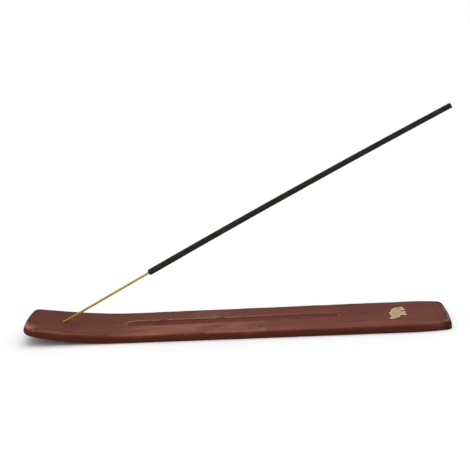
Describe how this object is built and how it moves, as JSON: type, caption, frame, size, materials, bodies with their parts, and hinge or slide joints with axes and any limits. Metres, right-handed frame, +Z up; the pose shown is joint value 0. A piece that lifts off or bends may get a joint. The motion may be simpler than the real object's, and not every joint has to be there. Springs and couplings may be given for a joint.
{
  "type": "incense stick holder",
  "caption": "Long ski-shaped wooden tray that holds an incense stick at a slant in a hole at its upturned end, catches the ash in a groove and has a brass elephant inlay.",
  "frame": {"origin": "on the flat underside, half way along the tray and half way across it", "axes": "+Z up; +X along the tray from the upturned end with the stick hole to the end with the elephant; -Y is the side the elephant faces"},
  "size_m": [0.2549, 0.0392, 0.1296],
  "materials": {
    "stained_wood": "red-brown stain, thinly waxed, worn pale on the edges",
    "dark_glue": "dark, dull",
    "brass": "hand polished, lightly tarnished",
    "bamboo": "bare split bamboo",
    "incense_paste": "matte pressed charcoal powder"
  },
  "bodies": {
    "holder": {"wooden_tray": "stained_wood", "inlay_adhesive": "dark_glue", "elephant_inlay": "brass"},
    "stick": {"bamboo_core": "bamboo", "incense_coating": "incense_paste"}
  },
  "joints": [
    {"name": "stick_slide", "type": "slide", "parent": "holder", "child": "stick", "axis": [0.8813, 0, 0.4726], "range_m": [0, 0.05]}
  ]
}
